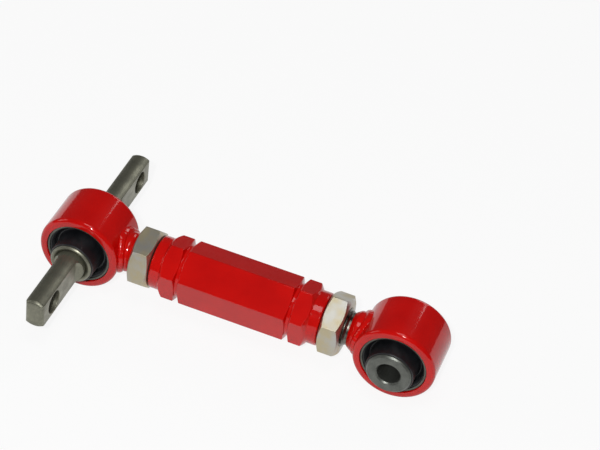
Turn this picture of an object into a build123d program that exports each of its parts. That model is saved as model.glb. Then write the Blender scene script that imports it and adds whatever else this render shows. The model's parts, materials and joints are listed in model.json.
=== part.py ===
"""Adjustable rear camber control arm: a short turnbuckle link between two bushed eyes.

The frame is in millimetres. The origin is the centre of the inner eye, on the axis of the
cross pin that bolts to the car. +X runs along the arm to the outer eye, Y is the axis of both
eyes and +Z is up. The arm is drawn at its shortest setting, with the inner jam nut run back
against the neck of its stud.
"""

from build123d import *
from math import cos, pi
import os

# ---------------------------------------------------------------- driving dimensions, in mm
# Arm
centre_distance = 174.0  # from eye to eye, at this setting

# Cross pin
pin_diameter = 17.0
pin_length = 130.0
pin_flat_thickness = 10.0
pin_flat_gap = 1.5  # round bar left between the sleeve and the flats
pin_flat_runout = 3.4  # cutter radius where a flat ends
pin_bolt_spacing = 104.0
pin_bolt_hole = 12.2  # for M12 bolts
pin_hole_chamfer = 0.5
pin_tip_chamfer = 1.4

# Rubber bush in each eye, from the middle outwards
inner_sleeve_wall = 2.9  # round the cross pin
inner_sleeve_proud = 8.9  # the sleeve stands out of the eye by this much on each side
outer_sleeve_bore = 12.2  # for an M12 bolt
outer_sleeve_wall = 5.9
outer_sleeve_proud = 7.0
sleeve_chamfer = 0.9
rubber_fit = 0.05  # radial play between the rubber and the sleeve that turns in it
rubber_wall = 4.2  # from the thicker sleeve to the shell
rubber_collar_wall = 0.9  # rubber that climbs the sleeve
rubber_collar_gap = 1.3  # from the end of that collar to the end of the sleeve
rubber_lip_wall = 1.8  # rubber left against the shell, beside the groove
rubber_lip_recess = 0.8  # below the end of the shell
rubber_lip_slope = 1.5  # the lip falls by this much towards the groove
rubber_groove_depth = 5.0  # below the face of the eye
shell_wall = 1.5
shell_recess = 0.7  # the shell ends this far inside the faces of the eye

# Eyes
eye_wall = 4.3
eye_width = 30.0
eye_edge_round = 1.8
eye_bore_chamfer = 0.4

# Studs, M20 x 1.5, drawn as plain shanks of the full thread diameter
thread_diameter = 20.0
thread_fit = 0.05  # radial play of a shank in the nut and in the turnbuckle
thread_chamfer = 1.5
stud_end_gap = 25.2  # between the two studs inside the turnbuckle
neck_step = 0.9  # the neck is this much thicker than the thread, on the radius
neck_length = 5.4  # from the crown of the eye to the end of the neck
neck_taper = 2.8
relief_depth = 1.3  # below the thread, where the neck ends
relief_length = 0.8
inner_neck_gap = 0.2  # from the neck to its jam nut
outer_neck_gap = 2.8
weld_reach = 1.7  # along the neck, beyond the crown of the eye
weld_root = 4.6  # how far the bead runs down beside the crown
weld_height = 1.7  # above the neck, at the root
weld_swell = 1.5  # roundness of the bead

# Turnbuckle and jam nuts
hex_across_flats = 30.0
hex_turned_depth = 0.8  # from a flat down to the lands and grooves turned in it
turnbuckle_turn = 40.0  # a corner of the hexagon, in degrees from +Y towards +Z
land_round = 0.7
land_length = 5.6
collar_chamfer = 2.4  # along the arm
collar_length = 7.2
groove_width = 2.6
groove_slope = 0.9
bore_chamfer = 0.8
jam_nut_thickness = 11.0
jam_nut_gap = 0.5  # between a nut and the end of the turnbuckle
jam_nut_chamfer = 1.7  # along the arm
inner_nut_turn = 15.0
outer_nut_turn = 29.0

# ---------------------------------------------------------------- worked out from those
pin_radius = pin_diameter / 2
inner_sleeve_radius = pin_radius + inner_sleeve_wall
outer_sleeve_radius = outer_sleeve_bore / 2 + outer_sleeve_wall
inner_sleeve_end = eye_width / 2 + inner_sleeve_proud
outer_sleeve_end = eye_width / 2 + outer_sleeve_proud
shell_inside = max(inner_sleeve_radius, outer_sleeve_radius) + rubber_wall
shell_end = eye_width / 2 - shell_recess
bush_radius = shell_inside + shell_wall
eye_radius = bush_radius + eye_wall
shank_radius = thread_diameter / 2
neck_radius = shank_radius + neck_step
relief_radius = shank_radius - relief_depth
threaded_bore = shank_radius + thread_fit
hex_corner_radius = hex_across_flats / 2 / cos(pi / 6)
turned_radius = hex_across_flats / 2 - hex_turned_depth

# Along the arm, the two ends are mirror images but for the gap between neck and nut
neck_end = eye_radius + neck_length  # from the centre of an eye
stack = jam_nut_gap + jam_nut_thickness
inner_nut_start = neck_end + inner_neck_gap
turnbuckle_start = inner_nut_start + stack
turnbuckle_end = centre_distance - neck_end - outer_neck_gap - stack
turnbuckle_length = turnbuckle_end - turnbuckle_start
outer_nut_start = turnbuckle_end + jam_nut_gap
stud_engagement = (turnbuckle_length - stud_end_gap) / 2

inner_eye_centre = 0.0
outer_eye_centre = centre_distance


def eye_plane(centre):
    """The plane through an eye at right angles to its axis."""
    return Plane(origin=(centre, 0, 0), x_dir=(1, 0, 0), z_dir=(0, -1, 0))


def radial_plane(centre):
    """The plane that holds an eye's axis as its own Y, for outlines that turn about it."""
    return Plane(origin=(centre, 0, 0), x_dir=(1, 0, 0), z_dir=(0, 0, 1))


def arm_plane(start):
    """The plane across the arm, with its own X along +Y and its own Y along +Z."""
    return Plane(origin=(start, 0, 0), x_dir=(0, 1, 0), z_dir=(1, 0, 0))


def eye_axis(centre):
    """The axis of an eye."""
    return Axis((centre, 0, 0), (0, 1, 0))


def finish(piece, name):
    """Label a finished piece and write it."""
    piece.label = name
    export_step(piece, f"parts/{name}.step")


def make_eye(centre, name):
    """The painted barrel that holds a bush."""
    with BuildPart() as eye:
        with BuildSketch(eye_plane(centre)):
            Circle(eye_radius)
            Circle(bush_radius, mode=Mode.SUBTRACT)
        extrude(amount=eye_width / 2, both=True)
        rims = eye.edges().filter_by(GeomType.CIRCLE)
        fillet(rims.filter_by(lambda rim: rim.radius > bush_radius + 1), eye_edge_round)
        rims = eye.edges().filter_by(GeomType.CIRCLE)
        chamfer(rims.filter_by(lambda rim: rim.radius < bush_radius + 0.01), eye_bore_chamfer)
    finish(eye.part, name)


def make_shell(centre, name):
    """The thin steel ring that the rubber is bonded into."""
    with BuildPart() as shell:
        with BuildSketch(eye_plane(centre)):
            Circle(bush_radius)
            Circle(shell_inside, mode=Mode.SUBTRACT)
        extrude(amount=shell_end, both=True)
    finish(shell.part, name)


def make_rubber(centre, sleeve_radius, sleeve_end, name):
    """The rubber, with a round groove in each end and a collar that climbs the sleeve."""
    bore = sleeve_radius + rubber_fit
    collar = bore + rubber_collar_wall
    collar_end = sleeve_end - rubber_collar_gap
    lip_end = shell_end - rubber_lip_recess
    groove_rim = shell_inside - rubber_lip_wall
    groove_radius = (groove_rim - collar) / 2
    groove_floor = eye_width / 2 - rubber_groove_depth
    groove_side = groove_floor + groove_radius
    with BuildPart() as rubber:
        with BuildSketch(radial_plane(centre)):
            with BuildLine():
                Line((bore, 0), (bore, collar_end))
                Line((bore, collar_end), (collar, collar_end))
                Line((collar, collar_end), (collar, groove_side))
                ThreePointArc(
                    (collar, groove_side),
                    (collar + groove_radius, groove_floor),
                    (groove_rim, groove_side),
                )
                Line((groove_rim, groove_side), (groove_rim, lip_end - rubber_lip_slope))
                Line((groove_rim, lip_end - rubber_lip_slope), (shell_inside, lip_end))
                Line((shell_inside, lip_end), (shell_inside, 0))
                Line((shell_inside, 0), (bore, 0))
            make_face()
            mirror(about=Plane(origin=(centre, 0, 0), z_dir=(0, 1, 0)))
        revolve(axis=eye_axis(centre))
    finish(rubber.part, name)


def make_sleeve(centre, sleeve_radius, sleeve_end, bore_radius, name):
    """The steel sleeve in the middle of a bush."""
    with BuildPart() as sleeve:
        with BuildSketch(eye_plane(centre)):
            Circle(sleeve_radius)
            Circle(bore_radius, mode=Mode.SUBTRACT)
        extrude(amount=sleeve_end, both=True)
        chamfer(sleeve.edges().filter_by(GeomType.CIRCLE), sleeve_chamfer)
    finish(sleeve.part, name)


def make_pin(name):
    """The round bar through the inner eye, with a flat, drilled ear at each end."""
    flat_start = inner_sleeve_end + pin_flat_gap
    flat_length = pin_length / 2 - flat_start + 1  # runs past the tip
    flat_depth = pin_radius - pin_flat_thickness / 2 + 1
    with BuildPart() as pin:
        with BuildSketch(eye_plane(inner_eye_centre)):
            Circle(pin_radius)
        extrude(amount=pin_length / 2, both=True)
        with BuildSketch(Plane.XY):
            for side_x in (-1, 1):
                for side_y in (-1, 1):
                    middle_x = side_x * (pin_flat_thickness / 2 + flat_depth / 2)
                    middle_y = side_y * (flat_start + flat_length / 2)
                    with Locations((middle_x, middle_y)):
                        Rectangle(flat_depth, flat_length)
        extrude(amount=pin_diameter, both=True, mode=Mode.SUBTRACT)
        flat_ends = pin.edges().filter_by(Axis.Z)
        fillet(flat_ends.filter_by(lambda edge: abs(edge.center().Y) < flat_start + 0.1), pin_flat_runout)
        chamfer(pin.faces().sort_by(Axis.Y)[0].edges(), pin_tip_chamfer)
        chamfer(pin.faces().sort_by(Axis.Y)[-1].edges(), pin_tip_chamfer)
        with BuildSketch(Plane.YZ):
            with Locations((-pin_bolt_spacing / 2, 0), (pin_bolt_spacing / 2, 0)):
                Circle(pin_bolt_hole / 2)
        extrude(amount=pin_diameter, both=True, mode=Mode.SUBTRACT)
        mouths = pin.edges().filter_by(GeomType.CIRCLE)
        chamfer(mouths.filter_by(lambda rim: abs(rim.radius - pin_bolt_hole / 2) < 0.01), pin_hole_chamfer)
    finish(pin.part, name)


def make_stud(centre, heading, neck_gap, name):
    """A threaded stud, coped to the eye at its thick neck. heading is +1 or -1 along X."""
    shank_end = neck_end + neck_gap + stack + stud_engagement
    outline = [
        (0, 0),
        (0, neck_radius),
        (neck_end - neck_taper, neck_radius),
        (neck_end, relief_radius),
        (neck_end + relief_length, relief_radius),
        (neck_end + relief_length + relief_depth, shank_radius),
        (shank_end - thread_chamfer, shank_radius),
        (shank_end, shank_radius - thread_chamfer),
        (shank_end, 0),
    ]
    with BuildPart() as stud:
        with BuildSketch(Plane.XY):
            with BuildLine():
                Polyline([(centre + heading * along, radius) for along, radius in outline], close=True)
            make_face()
        revolve(axis=Axis.X)
        with BuildSketch(eye_plane(centre)):
            Circle(eye_radius)
        extrude(amount=eye_width, both=True, mode=Mode.SUBTRACT)
    finish(stud.part, name)


def make_weld(centre, heading, name):
    """The bead that joins a stud's neck to its eye."""
    root = centre + heading * (eye_radius - weld_root)
    toe = centre + heading * (eye_radius + weld_reach)
    root_radius = neck_radius + weld_height
    crest = ((root + toe) / 2, (root_radius + neck_radius) / 2 + weld_swell)
    with BuildPart() as weld:
        with BuildSketch(Plane.XY):
            with BuildLine():
                Line((toe, neck_radius), (root, neck_radius))
                Line((root, neck_radius), (root, root_radius))
                ThreePointArc((root, root_radius), crest, (toe, neck_radius))
            make_face()
        revolve(axis=Axis.X)
        with BuildSketch(eye_plane(centre)):
            Circle(eye_radius)
        extrude(amount=eye_width, both=True, mode=Mode.SUBTRACT)
    finish(weld.part, name)


def turn_hexagon(start, length, corner_angle, outline, name):
    """Hexagon bar along the arm, turned to an outline of (x, radius) points and drilled for the stud."""
    with BuildPart() as piece:
        with BuildSketch(arm_plane(start)):
            RegularPolygon(radius=hex_corner_radius, side_count=6, rotation=corner_angle)
        extrude(amount=length)
        with BuildSketch(Plane.XY):
            with BuildLine():
                Polyline((start, 0), *outline, (start + length, 0), close=True)
            make_face()
        revolve(axis=Axis.X, mode=Mode.INTERSECT)
        with BuildSketch(arm_plane(start)):
            Circle(threaded_bore)
        extrude(amount=length, mode=Mode.SUBTRACT)
        mouths = piece.edges().filter_by(GeomType.CIRCLE)
        chamfer(mouths.filter_by(lambda rim: abs(rim.radius - threaded_bore) < 0.01), bore_chamfer)
    finish(piece.part, name)


def make_turnbuckle(name):
    """The long hexagon sleeve, with a collar and a round land at each end."""
    collar_start = land_length + collar_chamfer
    groove_start = collar_start + collar_length
    groove_end = groove_start + groove_width
    clear = hex_corner_radius + 1
    half_end = [
        (0, turned_radius - land_round),
        (land_round, turned_radius),
        (land_length, turned_radius),
        (collar_start, hex_corner_radius),
        (collar_start, clear),
        (groove_start - groove_slope, clear),
        (groove_start - groove_slope, hex_corner_radius),
        (groove_start, turned_radius),
        (groove_end - groove_slope, turned_radius),
        (groove_end, hex_corner_radius),
        (groove_end, clear),
    ]
    outline = [(turnbuckle_start + along, radius) for along, radius in half_end]
    outline += [(turnbuckle_end - along, radius) for along, radius in reversed(half_end)]
    turn_hexagon(turnbuckle_start, turnbuckle_length, turnbuckle_turn, outline, name)


def make_jam_nut(start, corner_angle, name):
    """A hexagon nut, chamfered on both faces."""
    end = start + jam_nut_thickness
    outline = [
        (start, turned_radius),
        (start + jam_nut_chamfer, hex_corner_radius),
        (end - jam_nut_chamfer, hex_corner_radius),
        (end, turned_radius),
    ]
    turn_hexagon(start, jam_nut_thickness, corner_angle, outline, name)


os.makedirs("parts", exist_ok=True)

ends = (
    ("inner", inner_eye_centre, inner_sleeve_radius, inner_sleeve_end),
    ("outer", outer_eye_centre, outer_sleeve_radius, outer_sleeve_end),
)
for end_name, eye_centre, sleeve_radius, sleeve_end in ends:
    make_eye(eye_centre, f"{end_name}_eye")
    make_shell(eye_centre, f"{end_name}_bush_shell")
    make_rubber(eye_centre, sleeve_radius, sleeve_end, f"{end_name}_bush_rubber")

make_pin("cross_pin")
make_sleeve(inner_eye_centre, inner_sleeve_radius, inner_sleeve_end, pin_radius, "inner_bush_sleeve")
make_sleeve(
    outer_eye_centre, outer_sleeve_radius, outer_sleeve_end, outer_sleeve_bore / 2, "outer_bush_sleeve"
)

make_stud(inner_eye_centre, 1, inner_neck_gap, "inner_stud")
make_stud(outer_eye_centre, -1, outer_neck_gap, "outer_stud")
make_weld(inner_eye_centre, 1, "inner_stud_weld")
make_weld(outer_eye_centre, -1, "outer_stud_weld")

make_turnbuckle("turnbuckle")
make_jam_nut(inner_nut_start, inner_nut_turn, "inner_jam_nut")
make_jam_nut(outer_nut_start, outer_nut_turn, "outer_jam_nut")
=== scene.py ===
"""Finish model of an adjustable rear camber control arm.

The arm is a hexagon turnbuckle between two rubber-bushed eyes. Everything is in metres, in the
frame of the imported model: the inner eye's centre is the origin, +X runs along the arm, Y is the
axis of both eyes and +Z is up. Each sub-assembly is a class that holds its sizes, builds its
meshes with bmesh operators and dresses them in a procedural finish.
"""

import json
import logging
import math
from dataclasses import dataclass
from enum import Enum
from typing import Callable, Sequence

import bmesh
import bpy
from mathutils import Matrix, Vector


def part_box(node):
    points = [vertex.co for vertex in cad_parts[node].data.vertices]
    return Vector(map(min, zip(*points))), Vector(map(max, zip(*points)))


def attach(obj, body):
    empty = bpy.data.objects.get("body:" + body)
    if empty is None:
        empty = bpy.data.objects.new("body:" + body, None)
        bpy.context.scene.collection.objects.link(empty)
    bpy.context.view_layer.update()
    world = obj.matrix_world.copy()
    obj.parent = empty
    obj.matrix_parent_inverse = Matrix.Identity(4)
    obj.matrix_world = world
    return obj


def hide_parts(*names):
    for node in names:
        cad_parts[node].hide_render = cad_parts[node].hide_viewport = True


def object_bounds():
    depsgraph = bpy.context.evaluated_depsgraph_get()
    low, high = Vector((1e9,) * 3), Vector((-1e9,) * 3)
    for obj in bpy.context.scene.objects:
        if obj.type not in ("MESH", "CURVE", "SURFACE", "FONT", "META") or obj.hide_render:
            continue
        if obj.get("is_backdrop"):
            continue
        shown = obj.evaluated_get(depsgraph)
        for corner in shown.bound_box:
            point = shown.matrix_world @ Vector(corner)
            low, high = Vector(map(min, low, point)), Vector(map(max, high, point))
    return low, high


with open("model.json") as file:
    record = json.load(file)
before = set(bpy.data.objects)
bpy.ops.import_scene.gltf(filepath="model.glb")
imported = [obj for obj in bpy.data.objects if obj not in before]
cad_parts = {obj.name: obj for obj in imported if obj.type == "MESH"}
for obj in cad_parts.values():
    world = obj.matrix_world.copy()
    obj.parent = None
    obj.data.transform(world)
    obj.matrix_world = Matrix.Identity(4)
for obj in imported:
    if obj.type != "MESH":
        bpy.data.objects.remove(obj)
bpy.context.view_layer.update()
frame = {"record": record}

log = logging.getLogger("control_arm")

MM = 0.001
FULL_TURN = 2 * math.pi
MERGE_DISTANCE = 1e-7
FLAT_ANGLE = math.radians(0.4)
SHARP_ANGLE = math.radians(28)
CREASE_ANGLE = math.radians(40)
BUSH_PLAY = 0.05 * MM
HAIR = 0.01 * MM

Outline = Sequence[tuple[float, float]]
Colour = tuple[float, float, float]


# ------------------------------------------------------------------ mesh tools


@dataclass(frozen=True)
class Line:
    """A line that outlines are turned about.

    Attributes:
        origin: The point where a distance along the line is 0.
        along: The unit direction of the line.
        outwards: The unit direction in which an outline's radius is drawn.
    """

    origin: Vector
    along: Vector
    outwards: Vector

    def point(self, distance: float, radius: float) -> Vector:
        """The point at a distance along the line and a radius from it."""
        return self.origin + self.along * distance + self.outwards * radius


def eye_line(centre: float) -> Line:
    """The axis of the eye whose centre is that far along the arm."""
    return Line(Vector((centre, 0, 0)), Vector((0, 1, 0)), Vector((1, 0, 0)))


ARM_LINE = Line(Vector((0, 0, 0)), Vector((1, 0, 0)), Vector((0, 1, 0)))


class Cut(Enum):
    """How one solid acts on another."""

    REMOVE = "DIFFERENCE"
    KEEP_COMMON = "INTERSECT"


def lathe(outline: Outline, line: Line, steps: int) -> bmesh.types.BMesh:
    """Turn a closed outline into a solid.

    Args:
        outline: Corners as (distance along the line, radius), in order.
        line: The line to turn about.
        steps: Divisions of the full turn.

    Returns:
        A new bmesh with merged seams and outward normals.
    """
    bm = bmesh.new()
    verts = [bm.verts.new(line.point(distance, radius)) for distance, radius in outline]
    edges = [bm.edges.new((verts[i - 1], verts[i])) for i in range(len(verts))]
    bmesh.ops.spin(
        bm,
        geom=verts + edges,
        cent=line.origin,
        axis=line.along,
        angle=FULL_TURN,
        steps=steps,
        use_merge=True,
    )
    tidy(bm)
    return bm


def tidy(bm: bmesh.types.BMesh) -> None:
    """Merge doubles, drop collapsed faces and turn all normals outwards."""
    bmesh.ops.remove_doubles(bm, verts=bm.verts, dist=MERGE_DISTANCE)
    bmesh.ops.dissolve_degenerate(bm, edges=bm.edges, dist=MERGE_DISTANCE)
    bmesh.ops.recalc_face_normals(bm, faces=bm.faces)


def soften(
    bm: bmesh.types.BMesh,
    width: float,
    segments: int = 3,
    angle: float = SHARP_ANGLE,
    where: Callable[[bmesh.types.BMEdge], bool] | None = None,
) -> None:
    """Round the sharp edges of a mesh.

    Args:
        bm: The mesh.
        width: Offset of the rounding from the edge.
        segments: Divisions across the rounding.
        angle: Least angle between two faces that counts as sharp.
        where: Says which of the sharp edges are rounded, or None for all.
    """
    edges = [
        edge
        for edge in bm.edges
        if len(edge.link_faces) == 2
        and edge.calc_face_angle() > angle
        and (where is None or where(edge))
    ]
    bmesh.ops.bevel(
        bm,
        geom=edges,
        offset=width,
        offset_type="OFFSET",
        segments=segments,
        profile=0.5,
        affect="EDGES",
        clamp_overlap=True,
        material=-1,
    )


def hexagon_bar(
    across_flats: float, start: float, end: float, corner: float, rounding: float
) -> bmesh.types.BMesh:
    """A hexagon bar along the arm, with its long edges rounded.

    Args:
        across_flats: Size of the hexagon.
        start: Where the bar starts along the arm.
        end: Where it ends.
        corner: Angle of one corner, from +Y towards +Z.
        rounding: Offset of the rounding on the long edges.
    """
    bm = bmesh.new()
    corner_radius = across_flats / 2 / math.cos(math.pi / 6)
    bmesh.ops.create_cone(
        bm,
        cap_ends=True,
        segments=6,
        radius1=corner_radius,
        radius2=corner_radius,
        depth=end - start,
    )
    # The cone's own axis is Z and its first corner lies on X: stand it along the arm, X to Y.
    to_arm = Matrix(((0, 0, 1), (1, 0, 0), (0, 1, 0))).to_4x4()
    turn = Matrix.Rotation(corner, 4, "X")
    place = Matrix.Translation(((start + end) / 2, 0, 0))
    first = max(bm.verts, key=lambda vert: vert.co.x).co.xy
    zero = Matrix.Rotation(-math.atan2(first.y, first.x), 4, "Z")
    bmesh.ops.transform(bm, matrix=place @ turn @ to_arm @ zero, verts=bm.verts)
    bmesh.ops.recalc_face_normals(bm, faces=bm.faces)
    soften(bm, rounding, where=lambda edge: abs((edge.verts[0].co - edge.verts[1].co).x) > MM)
    return bm


def rod(radius: float, line: Line, start: float, end: float, steps: int) -> bmesh.types.BMesh:
    """A plain cylinder about a line, from one distance to another."""
    return lathe([(start, 0), (start, radius), (end, radius), (end, 0)], line, steps)


def as_object(bm: bmesh.types.BMesh, name: str) -> bpy.types.Object:
    """Write a bmesh to a new object at the origin, and free it."""
    mesh = bpy.data.meshes.new(name)
    bm.to_mesh(mesh)
    bm.free()
    made = bpy.data.objects.new(name, mesh)
    bpy.context.scene.collection.objects.link(made)
    return made


def carve(bm: bmesh.types.BMesh, tools: Sequence[bmesh.types.BMesh], cut: Cut) -> bmesh.types.BMesh:
    """Cut a solid with others.

    Args:
        bm: The solid, which is freed.
        tools: The solids that cut it, one after the other, which are freed.
        cut: What each of them does.

    Returns:
        A new bmesh with the result.
    """
    body = as_object(bm, "blank")
    cutters = [as_object(tool, "cutter") for tool in tools]
    for cutter in cutters:
        modifier = body.modifiers.new("carve", "BOOLEAN")
        modifier.operation = cut.value
        modifier.solver = "EXACT"
        modifier.object = cutter
    evaluated = body.evaluated_get(bpy.context.evaluated_depsgraph_get())
    result = bmesh.new()
    result.from_mesh(evaluated.to_mesh())
    evaluated.to_mesh_clear()
    for spent in [body, *cutters]:
        mesh = spent.data
        bpy.data.objects.remove(spent)
        bpy.data.meshes.remove(mesh)
    tidy(result)
    bmesh.ops.dissolve_limit(
        result, angle_limit=FLAT_ANGLE, use_dissolve_boundaries=False, verts=result.verts, edges=result.edges
    )
    return result


def finish_piece(
    bm: bmesh.types.BMesh,
    name: str,
    body: str,
    nodes: Sequence[str],
    material: bpy.types.Material,
) -> None:
    """Turn a bmesh into a finished piece that rides on a body of the frame.

    Args:
        bm: The mesh, which is freed.
        name: Name of the piece.
        body: The body that it moves with.
        nodes: The frame's nodes that it stands for.
        material: Its finish.
    """
    piece = as_object(bm, name)
    piece.data.shade_smooth()
    piece.data.set_sharp_from_angle(angle=CREASE_ANGLE)
    piece.data.materials.append(material)
    weighted = piece.modifiers.new("even_normals", "WEIGHTED_NORMAL")
    weighted.keep_sharp = True
    weighted.weight = 80
    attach(piece, body)
    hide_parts(*nodes)
    log.info("%s: %d faces, rides on %s", name, len(piece.data.polygons), body)


# ------------------------------------------------------------------ finishes


class Shader:
    """A short way to write a node material."""

    def __init__(self, name: str) -> None:
        """Start a material that holds one Principled shader.

        Args:
            name: Name of the material.
        """
        self.material = bpy.data.materials.new(name)
        self.material.use_nodes = True
        self.nodes = self.material.node_tree.nodes
        self.links = self.material.node_tree.links
        self.principled = self.nodes["Principled BSDF"]
        self.coordinates = self.nodes.new("ShaderNodeTexCoord").outputs["Object"]

    def constant(self, **values: float) -> None:
        """Set numbers on the shader's own sockets, with _ for a space in a socket's name."""
        for socket, value in values.items():
            self.principled.inputs[socket.replace("_", " ")].default_value = value

    def place(
        self, scale: Sequence[float] = (1, 1, 1), shift: Sequence[float] = (0, 0, 0)
    ) -> bpy.types.NodeSocket:
        """Coordinates moved by a shift and then stretched by a scale."""
        mapping = self.nodes.new("ShaderNodeMapping")
        mapping.inputs["Location"].default_value = [s * k for s, k in zip(shift, scale)]
        mapping.inputs["Scale"].default_value = scale
        self.links.new(self.coordinates, mapping.inputs["Vector"])
        return mapping.outputs["Vector"]

    def noise(
        self,
        scale: float,
        detail: float = 3,
        roughness: float = 0.5,
        at: bpy.types.NodeSocket | None = None,
    ) -> bpy.types.NodeSocket:
        """Cloudy noise from 0 to 1, with scale in features for each metre."""
        node = self.nodes.new("ShaderNodeTexNoise")
        node.inputs["Scale"].default_value = scale
        node.inputs["Detail"].default_value = detail
        node.inputs["Roughness"].default_value = roughness
        self.links.new(at or self.coordinates, node.inputs["Vector"])
        return node.outputs["Fac"]

    def rings(
        self, pitch: float, direction: str, shift: Sequence[float], wobble: float
    ) -> bpy.types.NodeSocket:
        """Turning marks: fine rings about an axis, with a pitch in metres."""
        node = self.nodes.new("ShaderNodeTexWave")
        node.wave_type = "RINGS"
        node.rings_direction = direction
        node.inputs["Scale"].default_value = 1 / pitch / FULL_TURN
        node.inputs["Distortion"].default_value = wobble
        node.inputs["Detail"].default_value = 2
        node.inputs["Detail Scale"].default_value = 3
        self.links.new(self.place(shift=shift), node.inputs["Vector"])
        return node.outputs["Fac"]

    def ramp(
        self, value: bpy.types.NodeSocket, low: float, high: float, to: tuple[float, float]
    ) -> bpy.types.NodeSocket:
        """Stretch a value so that low to high becomes the range to."""
        node = self.nodes.new("ShaderNodeMapRange")
        node.inputs["From Min"].default_value = low
        node.inputs["From Max"].default_value = high
        node.inputs["To Min"].default_value = to[0]
        node.inputs["To Max"].default_value = to[1]
        self.links.new(value, node.inputs["Value"])
        return node.outputs["Result"]

    def blend(self, share: bpy.types.NodeSocket, first: Colour, second: Colour) -> bpy.types.NodeSocket:
        """A colour between two others, by a share from 0 to 1."""
        node = self.nodes.new("ShaderNodeMix")
        node.data_type = "RGBA"
        self.links.new(share, node.inputs["Factor"])
        mixed_colours = (node.inputs[6], node.inputs[7])
        for socket, colour in zip(mixed_colours, (first, second)):
            socket.default_value = (*colour, 1)
        return node.outputs[2]

    def add(
        self, first: bpy.types.NodeSocket, second: bpy.types.NodeSocket, share: float
    ) -> bpy.types.NodeSocket:
        """The first value plus a share of the second."""
        node = self.nodes.new("ShaderNodeMath")
        node.operation = "MULTIPLY_ADD"
        self.links.new(second, node.inputs[0])
        node.inputs[1].default_value = share
        self.links.new(first, node.inputs[2])
        return node.outputs["Value"]

    def colour(self, value: bpy.types.NodeSocket) -> None:
        """Use a colour as the base colour."""
        self.links.new(value, self.principled.inputs["Base Color"])

    def roughness(self, value: bpy.types.NodeSocket) -> None:
        """Use a value as the roughness."""
        self.links.new(value, self.principled.inputs["Roughness"])

    def relief(self, height: bpy.types.NodeSocket, depth: float, coat: bool = False) -> None:
        """Raise the surface by a height pattern.

        Args:
            height: The pattern, from 0 to 1.
            depth: Height of the pattern in metres.
            coat: Whether the clear coat follows too.
        """
        node = self.nodes.new("ShaderNodeBump")
        node.inputs["Strength"].default_value = 1.0
        node.inputs["Distance"].default_value = depth
        self.links.new(height, node.inputs["Height"])
        self.links.new(node.outputs["Normal"], self.principled.inputs["Normal"])
        if coat:
            self.links.new(node.outputs["Normal"], self.principled.inputs["Coat Normal"])


@dataclass(frozen=True)
class RedPaint:
    """Gloss red powder coat, with faint orange peel and cloudy depth."""

    name: str = "gloss_red_powder_coat"
    deep: Colour = (0.50, 0.0012, 0.0006)
    bright: Colour = (0.60, 0.0026, 0.0010)
    cloud_scale: float = 55.0
    peel_scale: float = 620.0
    peel_height: float = 0.012 * MM

    def material(self) -> bpy.types.Material:
        """Build the material."""
        shader = Shader(self.name)
        clouds = shader.noise(self.cloud_scale, detail=4)
        peel = shader.noise(self.peel_scale, detail=1.5)
        specks = shader.noise(self.peel_scale * 4, detail=1)
        shader.colour(shader.blend(shader.ramp(clouds, 0.3, 0.7, (0, 1)), self.deep, self.bright))
        shader.roughness(shader.ramp(specks, 0.3, 0.7, (0.26, 0.36)))
        shader.relief(shader.add(peel, clouds, 2.0), self.peel_height, coat=True)
        shader.constant(Coat_Weight=0.8, Coat_Roughness=0.07, Coat_IOR=1.5, Specular_IOR_Level=0.02)
        return shader.material


@dataclass(frozen=True)
class ZincPlate:
    """Bright zinc on a machined nut: metallic, faintly yellow, with soft clouds and tool marks."""

    name: str = "bright_zinc_plate"
    cool: Colour = (0.47, 0.46, 0.42)
    warm: Colour = (0.50, 0.44, 0.30)
    cloud_scale: float = 110.0
    mark_pitch: float = 0.35 * MM

    def material(self) -> bpy.types.Material:
        """Build the material."""
        shader = Shader(self.name)
        clouds = shader.noise(self.cloud_scale, detail=5, roughness=0.6)
        grain = shader.noise(2600, detail=2)
        marks = shader.rings(self.mark_pitch, "X", (0, 0, 0), 1.5)
        shader.colour(shader.blend(shader.ramp(clouds, 0.40, 0.60, (0, 1)), self.cool, self.warm))
        shader.roughness(shader.ramp(shader.add(clouds, grain, 0.5), 0.45, 1.0, (0.34, 0.52)))
        shader.relief(shader.add(grain, marks, 0.8), 0.006 * MM)
        shader.constant(Metallic=1.0)
        return shader.material


@dataclass(frozen=True)
class DarkSteel:
    """Machined steel with a dark phosphate finish.

    Attributes:
        name: Name of the material.
        dark: Colour of the deeper patches.
        light: Colour of the rubbed patches.
        grain: Stretch of the grain along X, Y and Z.
        ring_centre: Shift that centres the turning marks on an eye.
        ring_depth: Height of the turning marks.
    """

    name: str
    dark: Colour = (0.145, 0.145, 0.115)
    light: Colour = (0.27, 0.265, 0.20)
    grain: tuple[float, float, float] = (1.0, 0.12, 1.0)
    ring_centre: tuple[float, float, float] = (0, 0, 0)
    ring_depth: float = 0.5

    def material(self) -> bpy.types.Material:
        """Build the material."""
        shader = Shader(self.name)
        patches = shader.noise(130, detail=5, roughness=0.62)
        draw = shader.noise(1500, detail=2, at=shader.place(scale=self.grain))
        crystals = shader.noise(4200, detail=1)
        rings = shader.rings(0.45 * MM, "Y", self.ring_centre, 0.8)
        tone = shader.add(shader.add(patches, draw, 0.35), crystals, 0.2)
        shader.colour(shader.blend(shader.ramp(tone, 0.5, 1.05, (0, 1)), self.dark, self.light))
        shader.roughness(shader.ramp(tone, 0.5, 1.0, (0.5, 0.34)))
        shader.relief(shader.add(shader.add(draw, crystals, 0.5), rings, self.ring_depth), 0.010 * MM)
        shader.constant(Metallic=0.8)
        return shader.material


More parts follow.
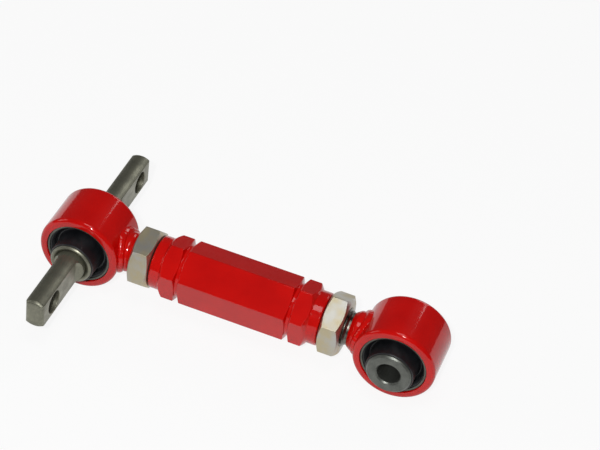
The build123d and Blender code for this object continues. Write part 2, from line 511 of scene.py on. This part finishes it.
@dataclass(frozen=True)
class Rubber:
    """Moulded black rubber with a slight gloss and a trace of bloom."""

    name: str = "moulded_rubber"
    black: Colour = (0.0045, 0.005, 0.0065)
    bloom: Colour = (0.013, 0.014, 0.017)

    def material(self) -> bpy.types.Material:
        """Build the material."""
        shader = Shader(self.name)
        bloom = shader.noise(170, detail=5, roughness=0.65)
        skin = shader.noise(1900, detail=2)
        shader.colour(shader.blend(shader.ramp(bloom, 0.42, 0.78, (0, 1)), self.black, self.bloom))
        shader.roughness(shader.ramp(bloom, 0.3, 0.7, (0.36, 0.54)))
        shader.relief(shader.add(skin, bloom, 1.5), 0.02 * MM)
        shader.constant(IOR=1.52)
        return shader.material


@dataclass(frozen=True)
class ThreadSteel:
    """Oiled steel of the rolled threads, its colours darkened below the steel's own as painted shade for the
    thread that lies in the shadowed gap by the nut.
    """

    name: str = "oiled_thread_steel_with_painted_shade"
    # Both colours are partly oiled steel and partly painted shade: darker than the bare steel, for the thread
    # in the shadowed gap.
    dark: Colour = (0.07, 0.065, 0.055)
    light: Colour = (0.20, 0.19, 0.165)

    def material(self) -> bpy.types.Material:
        """Build the material."""
        shader = Shader(self.name)
        oil = shader.noise(240, detail=4, roughness=0.6)
        lines = shader.noise(2400, detail=2, at=shader.place(scale=(1.0, 0.2, 0.2)))
        shader.colour(shader.blend(shader.ramp(oil, 0.3, 0.7, (0, 1)), self.dark, self.light))
        shader.roughness(shader.ramp(oil, 0.3, 0.7, (0.22, 0.42)))
        shader.relief(lines, 0.005 * MM)
        shader.constant(Metallic=1.0)
        return shader.material


@dataclass(frozen=True)
class Finishes:
    """Every finish of the arm, built once."""

    paint: bpy.types.Material
    zinc: bpy.types.Material
    pin_steel: bpy.types.Material
    inner_sleeve_steel: bpy.types.Material
    outer_sleeve_steel: bpy.types.Material
    shell_steel: bpy.types.Material
    rubber: bpy.types.Material
    thread: bpy.types.Material

    @classmethod
    def build(cls, outer_centre: float) -> "Finishes":
        """Build them all.

        Args:
            outer_centre: Where the outer eye's centre is along the arm.
        """
        outer_shift = (-outer_centre, 0, 0)
        return cls(
            paint=RedPaint().material(),
            zinc=ZincPlate().material(),
            pin_steel=DarkSteel("dark_pin_steel", ring_depth=0.0).material(),
            inner_sleeve_steel=DarkSteel("dark_inner_sleeve_steel").material(),
            outer_sleeve_steel=DarkSteel(
                "dark_outer_sleeve_steel",
                dark=(0.085, 0.09, 0.08),
                light=(0.17, 0.178, 0.16),
                ring_centre=outer_shift,
            ).material(),
            shell_steel=DarkSteel(
                "shell_steel",
                dark=(0.07, 0.075, 0.065),
                light=(0.15, 0.155, 0.13),
                grain=(1.0, 1.0, 1.0),
            ).material(),
            rubber=Rubber().material(),
            thread=ThreadSteel().material(),
        )


# ------------------------------------------------------------------ the arm's sub-assemblies


@dataclass
class Eye:
    """One bushed eye: barrel, shell, rubber and sleeve.

    Attributes:
        end: Which end of the arm it is, "inner" or "outer".
        body: The body that the barrel, shell and rubber ride on.
        sleeve_body: The body that the sleeve rides on.
        sleeve_bore: Radius of the sleeve's bore.
        edge_round: Rounding of the barrel's outer edges.
        bore_round: Rounding of the barrel's bore edges.
        shell_wall: Wall of the steel shell.
        lip_wall: Rubber beside the groove, against the shell.
        lip_recess: How far that rubber ends below the shell.
        lip_slope: How far it falls towards the groove.
        collar_wall: Rubber that climbs the sleeve.
        groove_depth: Depth of the groove below the barrel's face.
        sleeve_chamfer: Chamfer on the sleeve's edges.
        dish: Depth of the shallow dish turned in the sleeve's end faces.
        steps: Divisions of a full turn.
    """

    end: str
    body: str
    sleeve_body: str
    sleeve_bore: float
    edge_round: float = 2.3 * MM
    bore_round: float = 0.35 * MM
    shell_wall: float = 1.5 * MM
    lip_wall: float = 1.9 * MM
    lip_recess: float = 0.8 * MM
    lip_slope: float = 1.5 * MM
    collar_wall: float = 0.9 * MM
    groove_depth: float = 5.0 * MM
    sleeve_chamfer: float = 0.9 * MM
    dish: float = 0.0
    steps: int = 160

    def __post_init__(self) -> None:
        """Take places and radii from the frame's nodes."""
        low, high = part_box(f"{self.end}_eye")
        self.centre = (low.x + high.x) / 2
        self.radius = (high.z - low.z) / 2
        self.half_width = (high.y - low.y) / 2
        shell_low, shell_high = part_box(f"{self.end}_bush_shell")
        self.bush_radius = (shell_high.z - shell_low.z) / 2
        self.shell_end = (shell_high.y - shell_low.y) / 2
        rubber_low, rubber_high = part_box(f"{self.end}_bush_rubber")
        self.collar_end = (rubber_high.y - rubber_low.y) / 2
        sleeve_low, sleeve_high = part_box(f"{self.end}_bush_sleeve")
        self.sleeve_radius = (sleeve_high.z - sleeve_low.z) / 2
        self.sleeve_end = (sleeve_high.y - sleeve_low.y) / 2
        self.line = eye_line(self.centre)

    def ring(self, half_length: float, bore: float, radius: float) -> bmesh.types.BMesh:
        """A plain ring about the eye's axis."""
        outline = [(-half_length, bore), (-half_length, radius), (half_length, radius), (half_length, bore)]
        return lathe(outline, self.line, self.steps)

    def distance_out(self, edge: bmesh.types.BMEdge) -> float:
        """How far an edge lies from the eye's axis."""
        spot = edge.verts[0].co - self.line.origin
        return math.hypot(spot.x, spot.z)

    def barrel(self, finishes: Finishes) -> None:
        """The painted barrel."""
        bm = self.ring(self.half_width, self.bush_radius, self.radius)
        middle = (self.bush_radius + self.radius) / 2
        soften(bm, self.edge_round, 8, where=lambda edge: self.distance_out(edge) > middle)
        soften(bm, self.bore_round, 3, math.radians(60), lambda edge: self.distance_out(edge) < middle)
        name = f"{self.end}_barrel"
        finish_piece(bm, name, self.body, [f"{self.end}_eye"], finishes.paint)

    def shell(self, finishes: Finishes) -> None:
        """The thin steel shell, its ends rolled slightly round."""
        bm = self.ring(self.shell_end, self.bush_radius - self.shell_wall, self.bush_radius)
        soften(bm, self.shell_wall * 0.35, 4)
        name = f"{self.end}_shell_ring"
        finish_piece(bm, name, self.body, [f"{self.end}_bush_shell"], finishes.shell_steel)

    def rubber(self, finishes: Finishes) -> None:
        """The rubber, with a round groove in each end and a moulded step at its lip."""
        bore = self.sleeve_radius + BUSH_PLAY
        collar = bore + self.collar_wall
        outside = self.bush_radius - self.shell_wall
        rim = outside - self.lip_wall
        middle = (collar + rim) / 2
        floor = self.half_width - self.groove_depth
        lip = self.shell_end - self.lip_recess
        step = 0.25 * MM
        half = [
            (0, bore),
            (self.collar_end, bore),
            (self.collar_end, collar - 2 * step),
            (self.collar_end - 2 * step, collar - step),
            (self.half_width, collar),
            (floor + 2 * step, collar + step),
            (floor, middle - step),
            (floor, middle + step),
            (floor + 2 * step, rim - step),
            (lip - self.lip_slope, rim + step),
            (lip - step, outside - 2 * step),
            (lip, outside),
            (0, outside),
        ]
        mirrored = [(-distance, radius) for distance, radius in reversed(half[1:-1])]
        bm = lathe(half + mirrored, self.line, self.steps)
        soften(bm, 0.35 * MM, 3, math.radians(12), lambda edge: self.distance_out(edge) < outside - step / 3)
        name = f"{self.end}_rubber_bush"
        finish_piece(bm, name, self.body, [f"{self.end}_bush_rubber"], finishes.rubber)

    def sleeve(self, material: bpy.types.Material) -> None:
        """The steel sleeve, chamfered and rubbed smooth on its edges."""
        inner, outer, end = self.sleeve_bore, self.sleeve_radius, self.sleeve_end
        cut = self.sleeve_chamfer
        half = [
            (end - cut, outer),
            (end, outer - cut),
            (end - self.dish, inner + cut),
            (end - self.dish - cut, inner),
        ]
        outline = half + [(-distance, radius) for distance, radius in reversed(half)]
        bm = lathe(outline, self.line, self.steps)
        soften(bm, 0.15 * MM, 2, math.radians(20))
        name = f"{self.end}_sleeve"
        finish_piece(bm, name, self.sleeve_body, [f"{self.end}_bush_sleeve"], material)

    def build(self, finishes: Finishes, sleeve_material: bpy.types.Material) -> None:
        """Make all four pieces."""
        self.barrel(finishes)
        self.shell(finishes)
        self.rubber(finishes)
        self.sleeve(sleeve_material)


@dataclass
class CrossPin:
    """The round bar through the inner eye, with a flat, drilled ear at each end.

    Attributes:
        thickness: Thickness of the ears, flat to flat.
        runout: Radius that the cutter leaves where a flat ends.
        flat_gap: Round bar between the sleeve and the flats.
        tip_round: Rounding of the tips.
        hole_round: Rounding of the holes' edges.
        edge_round: Rounding of all other edges.
        steps: Divisions of a full turn.
    """

    thickness: float = 10.0 * MM
    runout: float = 3.4 * MM
    flat_gap: float = 1.5 * MM
    tip_round: float = 2.2 * MM
    hole_round: float = 0.5 * MM
    edge_round: float = 0.9 * MM
    steps: int = 120

    def __post_init__(self) -> None:
        """Take sizes from the frame's node, sleeve and bolt mount."""
        low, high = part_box("cross_pin")
        self.radius = (high.x - low.x) / 2
        self.half_length = (high.y - low.y) / 2
        self.flat_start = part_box("inner_bush_sleeve")[1].y + self.flat_gap
        dims = mount("chassis_bolts")["dims"]
        self.hole_radius = dims["hole_r_mm"] * MM
        self.hole_places = (-dims["spacing_x_mm"] * MM / 2, dims["spacing_x_mm"] * MM / 2)

    def mill(self, side_x: int, side_y: int) -> bmesh.types.BMesh:
        """The block that one pass of the cutter takes away, its inner corner rounded."""
        depth = self.radius
        length = self.half_length
        size = Vector((depth, length, 4 * self.radius))
        centre = Vector((side_x * (self.thickness + depth) / 2, side_y * (self.flat_start + length / 2), 0))
        bm = bmesh.new()
        bmesh.ops.create_cube(bm, size=1, matrix=Matrix.Translation(centre) @ Matrix.Diagonal((*size, 1)))

        def inner_corner(edge: bmesh.types.BMEdge) -> bool:
            """Whether an edge stands upright at the cutter's inner corner."""
            first, second = (vert.co for vert in edge.verts)
            upright = abs(first.z - second.z) > self.radius
            return upright and abs(first.x) < self.thickness and abs(first.y) < self.flat_start + MM

        soften(bm, self.runout, 10, where=inner_corner)
        return bm

    def tip_corner(self, side_x: int, side_y: int) -> bmesh.types.BMesh:
        """What is ground off where a flat meets the tip, which leaves that corner round."""
        corner = Vector((side_x * self.thickness / 2, side_y * self.half_length, 0))
        inwards = Vector((side_x, side_y, 0)) * self.tip_round
        bm = bmesh.new()
        size = (2 * self.tip_round, 2 * self.tip_round, 4 * self.radius)
        bmesh.ops.create_cube(bm, size=1, matrix=Matrix.Translation(corner) @ Matrix.Diagonal((*size, 1)))
        upright = Line(corner - inwards, Vector((0, 0, 1)), Vector((1, 0, 0)))
        return carve(bm, [rod(self.tip_round, upright, -3 * self.radius, 3 * self.radius, 48)], Cut.REMOVE)

    def build(self, finishes: Finishes) -> None:
        """Turn the bar, mill the flats, round the tips and drill the ears."""
        bm = rod(self.radius, eye_line(0), -self.half_length, self.half_length, self.steps)
        soften(bm, self.tip_round, 6)
        sides = [(side_x, side_y) for side_x in (-1, 1) for side_y in (-1, 1)]
        bm = carve(bm, [self.mill(*side) for side in sides], Cut.REMOVE)
        bm = carve(bm, [self.tip_corner(*side) for side in sides], Cut.REMOVE)
        across = Vector((1, 0, 0))
        holes = []
        for place in self.hole_places:
            line = Line(Vector((0, place, 0)), across, Vector((0, 1, 0)))
            holes.append(rod(self.hole_radius, line, -2 * self.radius, 2 * self.radius, 72))
        bm = carve(bm, holes, Cut.REMOVE)

        def on_hole(edge: bmesh.types.BMEdge) -> bool:
            """Whether an edge lies on the mouth of a bolt hole."""
            spot = edge.verts[0].co
            reaches = [math.hypot(spot.y - place, spot.z) for place in self.hole_places]
            return any(abs(reach - self.hole_radius) < HAIR for reach in reaches)

        soften(bm, self.hole_round, 3, where=on_hole)
        soften(bm, self.edge_round, 2, math.radians(32))
        finish_piece(bm, "eared_pin", "pin", ["cross_pin"], finishes.pin_steel)


@dataclass
class Stud:
    """A threaded stud: painted neck, weld bead and helical thread.

    Attributes:
        end: Which end of the arm it is, "inner" or "outer".
        body: The body that it rides on.
        heading: +1 where the stud points along +X from its eye, and -1 the other way.
        neck_step: How much thicker the neck is than the thread, on the radius.
        neck_length: From the eye's crown to the end of the neck.
        neck_taper: Length of the tapered end of the neck.
        relief_depth: Depth of the relief below the thread.
        pitch: Pitch of the thread.
        turn_steps: Divisions of a full turn of the thread.
        bead_width: Half-width of the weld bead along the arm.
        bead_height: Half-height of the weld bead.
        ripples: Ripples round the weld bead.
        ripple_height: Height of a ripple.
    """

    end: str
    body: str
    heading: int
    neck_step: float = 0.9 * MM
    neck_length: float = 5.4 * MM
    neck_taper: float = 2.8 * MM
    relief_depth: float = 1.3 * MM
    pitch: float = 1.5 * MM
    turn_steps: int = 48
    bead_width: float = 2.5 * MM
    bead_height: float = 1.55 * MM
    ripples: int = 34
    ripple_height: float = 0.06 * MM

    def __post_init__(self) -> None:
        """Take places and radii from the frame's nodes."""
        eye_low, eye_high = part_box(f"{self.end}_eye")
        self.eye_centre = (eye_low.x + eye_high.x) / 2
        self.eye_radius = (eye_high.z - eye_low.z) / 2
        low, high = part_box(f"{self.end}_stud")
        self.neck_radius = (high.y - low.y) / 2
        self.thread_radius = self.neck_radius - self.neck_step
        reach = high.x if self.heading > 0 else low.x
        self.tip = abs(reach - self.eye_centre)
        self.neck_end = self.eye_radius + self.neck_length
        self.line = Line(Vector((self.eye_centre, 0, 0)), Vector((self.heading, 0, 0)), Vector((0, 1, 0)))

    def neck(self, finishes: Finishes) -> None:
        """The painted neck, which runs a little way into the eye's wall."""
        inside = math.sqrt(self.eye_radius**2 - self.neck_radius**2) - 0.6 * MM
        relief = self.thread_radius - self.relief_depth
        outline = [
            (inside, 0),
            (inside, self.neck_radius),
            (self.neck_end - self.neck_taper, self.neck_radius),
            (self.neck_end, relief + 0.2 * MM),
            (self.neck_end, 0),
        ]
        bm = lathe(outline, self.line, 128)
        soften(bm, 0.9 * MM, 5, math.radians(25), lambda edge: self.along(edge.verts[0].co) > self.eye_radius)
        name = f"{self.end}_stud_neck"
        finish_piece(bm, name, self.body, [f"{self.end}_stud"], finishes.paint)

    def along(self, spot: Vector) -> float:
        """Distance of a point from the eye's centre along the stud."""
        return (spot.x - self.eye_centre) * self.heading

    def thread(self, finishes: Finishes) -> None:
        """The helical thread, right-hand on the inner stud and left-hand on the outer one.

        One pitch of the thread's outline is turned and moved on together, which makes a helix
        whose turns join, and the helix is then cut square at both ends and closed.
        """
        crest = self.thread_radius
        root = crest - 0.613 * self.pitch
        start = self.neck_end - 0.4 * MM
        relief = crest - self.relief_depth
        outline = [
            (0.0, root),
            (0.10, root),
            (0.44, crest),
            (0.56, crest),
            (0.90, root),
            (1.0, root),
        ]
        turns = math.ceil((self.tip - start) / self.pitch) + 2
        bm = bmesh.new()
        first = start - 1.5 * self.pitch
        points = [self.line.point(first + at * self.pitch, radius) for at, radius in outline]
        verts = [bm.verts.new(point) for point in points]
        edges = [bm.edges.new(pair) for pair in zip(verts, verts[1:])]
        bmesh.ops.spin(
            bm,
            geom=verts + edges,
            cent=self.line.origin,
            axis=Vector((1, 0, 0)),
            dvec=self.line.along * self.pitch / self.turn_steps,
            angle=FULL_TURN * turns,
            steps=self.turn_steps * turns,
            use_merge=False,
        )
        bmesh.ops.remove_doubles(bm, verts=bm.verts, dist=MM * 0.002)
        for distance, direction in ((start, -1), (self.tip, 1)):
            cut = bmesh.ops.bisect_plane(
                bm,
                geom=bm.verts[:] + bm.edges[:] + bm.faces[:],
                dist=MERGE_DISTANCE,
                plane_co=self.line.point(distance, 0),
                plane_no=self.line.along * direction,
                clear_outer=True,
            )
            rim = [item for item in cut["geom_cut"] if isinstance(item, bmesh.types.BMEdge)]
            bmesh.ops.holes_fill(bm, edges=rim)
        neck_chamfer = self.neck_end + 0.8 * MM
        for vert in bm.verts:
            at = self.along(vert.co)
            limit = min(relief + max(at - neck_chamfer, 0), root + max(self.tip - at, 0))
            spread = math.hypot(vert.co.y, vert.co.z)
            if spread > limit:
                vert.co.y *= limit / spread
                vert.co.z *= limit / spread
        tidy(bm)
        name = f"{self.end}_stud_thread"
        finish_piece(bm, name, self.body, [f"{self.end}_stud"], finishes.thread)

    def weld(self, finishes: Finishes) -> None:
        """The painted-over weld bead, which follows the saddle where neck and barrel meet."""
        bm = bmesh.new()
        section = bmesh.ops.create_circle(bm, segments=20, radius=1)["verts"]
        centre = self.line.point(self.eye_radius, self.neck_radius + 0.1 * MM)
        for vert in section:
            swell = Vector((vert.co.x * self.bead_width, vert.co.y * self.bead_height, 0))
            vert.co = centre + swell
        bmesh.ops.spin(
            bm,
            geom=bm.verts[:] + bm.edges[:],
            cent=self.line.origin,
            axis=Vector((1, 0, 0)),
            angle=FULL_TURN,
            steps=260,
            use_merge=True,
        )
        for vert in bm.verts:
            spot = vert.co
            turn = math.atan2(spot.z, spot.y)
            across = math.hypot(spot.y, spot.z) - self.neck_radius
            lag = abs(self.along(spot) - self.eye_radius) / self.bead_width
            ripple = self.ripple_height * math.sin(self.ripples * turn + 1.6 * lag)
            spread = 1 + ripple * max(across, 0) / self.bead_height / self.neck_radius
            spot.y *= spread
            spot.z *= spread
            height = min(abs(spot.z), self.eye_radius)
            sink = self.eye_radius - math.sqrt(self.eye_radius**2 - height**2)
            spot.x -= self.heading * sink
        tidy(bm)
        name = f"{self.end}_weld_bead"
        finish_piece(bm, name, self.body, [f"{self.end}_stud_weld"], finishes.paint)

    def build(self, finishes: Finishes) -> None:
        """Make all three pieces."""
        self.neck(finishes)
        self.weld(finishes)
        self.thread(finishes)


@dataclass
class HexagonWork:
    """A turned hexagon piece that a stud screws into.

    Attributes:
        node: The frame's node that it stands for.
        body: The body that it rides on.
        corner: Angle of a corner of the hexagon, from +Y towards +Z.
        across_flats: Size of the hexagon.
        turned_depth: From a flat down to what is turned round.
        bore: Radius of the threaded bore.
        bore_chamfer: Chamfer at the mouths of the bore.
        corner_round: Rounding of the hexagon's long edges.
        edge_round: Rounding of the turned edges.
    """

    node: str
    body: str
    corner: float
    across_flats: float = 30.0 * MM
    turned_depth: float = 0.8 * MM
    bore: float = 10.05 * MM
    bore_chamfer: float = 0.8 * MM
    corner_round: float = 0.3 * MM
    edge_round: float = 0.16 * MM

    def __post_init__(self) -> None:
        """Take the ends from the frame's node."""
        low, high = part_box(self.node)
        self.start, self.end = low.x, high.x
        self.corner_radius = self.across_flats / 2 / math.cos(math.pi / 6)
        self.turned_radius = self.across_flats / 2 - self.turned_depth

    def half_outline(self) -> list[tuple[float, float]]:
        """What is turned at each end, as (distance from the end, radius)."""
        raise NotImplementedError

    def shape(self) -> bmesh.types.BMesh:
        """Turn the hexagon bar to the outline of both ends, and drill it."""
        half = self.half_outline()
        outline = [(self.start, 0), *((self.start + at, radius) for at, radius in half)]
        outline += [(self.end - at, radius) for at, radius in reversed(half)]
        outline.append((self.end, 0))
        over = 2 * MM
        bar_ends = (self.start - over, self.end + over)
        bar = hexagon_bar(self.across_flats, *bar_ends, self.corner, self.corner_round)
        bm = carve(bar, [lathe(outline, ARM_LINE, 180)], Cut.KEEP_COMMON)
        mouth = self.bore + self.bore_chamfer
        drill = [
            (self.start - over, 0),
            (self.start - over, mouth + over),
            (self.start + self.bore_chamfer, self.bore),
            (self.end - self.bore_chamfer, self.bore),
            (self.end + over, mouth + over),
            (self.end + over, 0),
        ]
        bm = carve(bm, [lathe(drill, ARM_LINE, 96)], Cut.REMOVE)
        soften(bm, self.edge_round, 2, math.radians(22), lambda edge: self.turned(edge))
        return bm

    def turned(self, edge: bmesh.types.BMEdge) -> bool:
        """Whether an edge was left by turning, and not by the hexagon bar's own rounding."""
        first, second = (vert.co for vert in edge.verts)
        lengthwise = abs((first - second).normalized().x) > 0.999
        return not lengthwise


@dataclass
class Turnbuckle(HexagonWork):
    """The long hexagon sleeve, with a round land, a collar and a groove at each end.

    Attributes:
        land_length: Length of the round land.
        land_round: Rounding at the end of the land.
        collar_chamfer: Length of the chamfer up to the collar.
        collar_length: Length of the collar after its chamfer.
        groove_width: Width of the groove.
        groove_slope: Length of each sloped side of the groove.
    """

    land_length: float = 5.6 * MM
    land_round: float = 0.7 * MM
    collar_chamfer: float = 2.4 * MM
    collar_length: float = 7.2 * MM
    groove_width: float = 2.6 * MM
    groove_slope: float = 0.9 * MM
    corner_round: float = 0.45 * MM
    edge_round: float = 0.24 * MM

    def half_outline(self) -> list[tuple[float, float]]:
        """Land, chamfer, collar and groove, from one end inwards."""
        collar = self.land_length + self.collar_chamfer
        groove = collar + self.collar_length
        main = groove + self.groove_width
        clear = self.corner_radius + MM
        return [
            (0, self.turned_radius - self.land_round),
            (self.land_round, self.turned_radius),
            (self.land_length, self.turned_radius),
            (collar, self.corner_radius),
            (collar, clear),
            (groove - self.groove_slope, clear),
            (groove - self.groove_slope, self.corner_radius),
            (groove, self.turned_radius),
            (main - self.groove_slope, self.turned_radius),
            (main, self.corner_radius),
            (main, clear),
        ]

    def build(self, finishes: Finishes) -> None:
        """Make the piece."""
        finish_piece(self.shape(), "hexagon_sleeve", self.body, [self.node], finishes.paint)


@dataclass
class JamNut(HexagonWork):
    """A hexagon jam nut, chamfered on both faces.

    Attributes:
        chamfer: Length of the chamfer along the arm.
    """

    chamfer: float = 1.7 * MM

    def half_outline(self) -> list[tuple[float, float]]:
        """The chamfer at one face."""
        return [
            (0, self.turned_radius),
            (self.chamfer, self.corner_radius),
            (self.chamfer, self.corner_radius + MM),
        ]

    def build(self, finishes: Finishes) -> None:
        """Make the piece."""
        finish_piece(self.shape(), f"{self.node}_piece", self.body, [self.node], finishes.zinc)


# ------------------------------------------------------------------ studio


@dataclass(frozen=True)
class View:
    """Where the camera stands, in metres, and how it is held.

    Attributes:
        place: The camera's place.
        forward: Its unit direction of view.
        roll: Turn about that direction, in radians.
        lens: Focal length in millimetres on a 36 mm wide sensor.
    """

    place: Vector = Vector((0.29795, -0.6862, 0.6874))
    forward: Vector = Vector((-0.19604, 0.72183, -0.66372))
    roll: float = 0.151
    lens: float = 115.74

    def add_camera(self) -> None:
        """Create the camera and make it the scene's."""
        data = bpy.data.cameras.new("camera")
        data.lens = self.lens
        data.sensor_width = 36.0
        data.clip_start = 0.01
        data.clip_end = 20.0
        camera = bpy.data.objects.new("camera", data)
        bpy.context.scene.collection.objects.link(camera)
        forward = self.forward.normalized()
        level_right = forward.cross(Vector((0, 0, 1))).normalized()
        level_up = level_right.cross(forward)
        right = level_right * math.cos(self.roll) + level_up * math.sin(self.roll)
        up = level_up * math.cos(self.roll) - level_right * math.sin(self.roll)
        turned = Matrix((right, up, -forward)).transposed().to_4x4()
        camera.matrix_world = Matrix.Translation(self.place) @ turned
        bpy.context.scene.camera = camera


@dataclass(frozen=True)
class Studio:
    """A pale table in soft light, with one small lamp for the pinpoint glints.

    Attributes:
        ambient: Strength of the light that comes from all round.
        middle: The point that the lamps face.
    """

    ambient: float = 0.10
    middle: Vector = Vector((0.087, 0, 0))

    def add_lamp(self, name: str, place: tuple[float, float, float], size: float, power: float) -> None:
        """Add one square soft box that faces the middle of the arm.

        Args:
            name: Name of the lamp.
            place: Its place.
            size: Its side, in metres.
            power: Its power, in watts.
        """
        data = bpy.data.lights.new(name, "AREA")
        data.size = size
        data.energy = power
        lamp = bpy.data.objects.new(name, data)
        bpy.context.scene.collection.objects.link(lamp)
        lamp.location = place
        lamp.rotation_euler = (self.middle - Vector(place)).to_track_quat("-Z", "Y").to_euler()

    def seen_directly(self, nodes: bpy.types.Nodes, links: bpy.types.NodeLinks) -> bpy.types.NodeSocket:
        """1 for rays from the camera, reflected rays and rays through glass, and 0 for the rest."""
        path = nodes.new("ShaderNodeLightPath")
        total = path.outputs["Is Camera Ray"]
        for other in ("Is Glossy Ray", "Is Transmission Ray"):
            most = nodes.new("ShaderNodeMath")
            most.operation = "MAXIMUM"
            links.new(total, most.inputs[0])
            links.new(path.outputs[other], most.inputs[1])
            total = most.outputs["Value"]
        return total

    def add_table(self) -> None:
        """The white table: nearly shadowless to the eye, and plain pale to the light."""
        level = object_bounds()[0][2]
        bm = bmesh.new()
        bmesh.ops.create_grid(bm, x_segments=1, y_segments=1, size=6)
        bmesh.ops.translate(bm, verts=bm.verts, vec=(0, 0, level))
        table = as_object(bm, "table")
        material = bpy.data.materials.new("white_table")
        material.use_nodes = True
        nodes, links = material.node_tree.nodes, material.node_tree.links
        plain = nodes["Principled BSDF"]
        plain.inputs["Base Color"].default_value = (0.8, 0.8, 0.8, 1)
        plain.inputs["Roughness"].default_value = 0.9
        plain.inputs["Specular IOR Level"].default_value = 0.0
        white = nodes.new("ShaderNodeEmission")
        white.inputs["Color"].default_value = (1, 1, 1, 1)
        share = nodes.new("ShaderNodeMath")
        share.operation = "MULTIPLY"
        links.new(self.seen_directly(nodes, links), share.inputs[0])
        share.inputs[1].default_value = 0.89
        mix = nodes.new("ShaderNodeMixShader")
        links.new(share.outputs["Value"], mix.inputs["Fac"])
        links.new(plain.outputs["BSDF"], mix.inputs[1])
        links.new(white.outputs["Emission"], mix.inputs[2])
        links.new(mix.outputs["Shader"], nodes["Material Output"].inputs["Surface"])
        table.data.materials.append(material)
        table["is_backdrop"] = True

    def add_world(self) -> None:
        """Plain soft light from all round."""
        world = bpy.data.worlds.new("soft_grey")
        bpy.context.scene.world = world
        world.use_nodes = True
        background = world.node_tree.nodes["Background"]
        background.inputs["Color"].default_value = (1, 1, 1, 1)
        background.inputs["Strength"].default_value = self.ambient

    def build(self) -> None:
        """Table, world, lamps and colour handling."""
        self.add_table()
        self.add_world()
        self.add_lamp("overhead", (0.12, -0.22, 1.25), 0.50, 3.0)
        self.add_lamp("side", (-0.95, -0.30, 0.50), 0.45, 1.2)
        self.add_lamp("back", (0.30, 1.10, 0.70), 0.45, 2.5)
        self.add_lamp("glint", (0.25, -0.95, 0.98), 0.06, 11.0)
        bpy.context.scene.view_settings.view_transform = "Standard"


def mount(name: str) -> dict:
    """One of the record's mounts, by name."""
    return next(entry for entry in frame["record"]["mounts"] if entry["name"] == name)


def main() -> None:
    """Build the studio and every sub-assembly in order."""
    logging.basicConfig(level=logging.INFO, format="%(name)s: %(message)s")
    View().add_camera()
    Studio().build()

    pin = CrossPin()
    inner_eye = Eye("inner", "inner_end", "pin", sleeve_bore=pin.radius, dish=0.5 * MM)
    knuckle_bore = mount("knuckle_bore")["dims"]["r_mm"] * MM
    outer_eye = Eye("outer", "outer_end", "knuckle_sleeve", sleeve_bore=knuckle_bore)
    finishes = Finishes.build(outer_eye.centre)
    pin.build(finishes)
    inner_eye.build(finishes, finishes.inner_sleeve_steel)
    outer_eye.build(finishes, finishes.outer_sleeve_steel)
    Stud("inner", "inner_end", heading=1).build(finishes)
    Stud("outer", "outer_end", heading=-1).build(finishes)
    Turnbuckle("turnbuckle", "adjuster", math.radians(40)).build(finishes)
    JamNut("inner_jam_nut", "inner_nut", math.radians(15)).build(finishes)
    JamNut("outer_jam_nut", "outer_nut", math.radians(29)).build(finishes)

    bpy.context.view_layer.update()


if __name__ == "__main__":
    main()
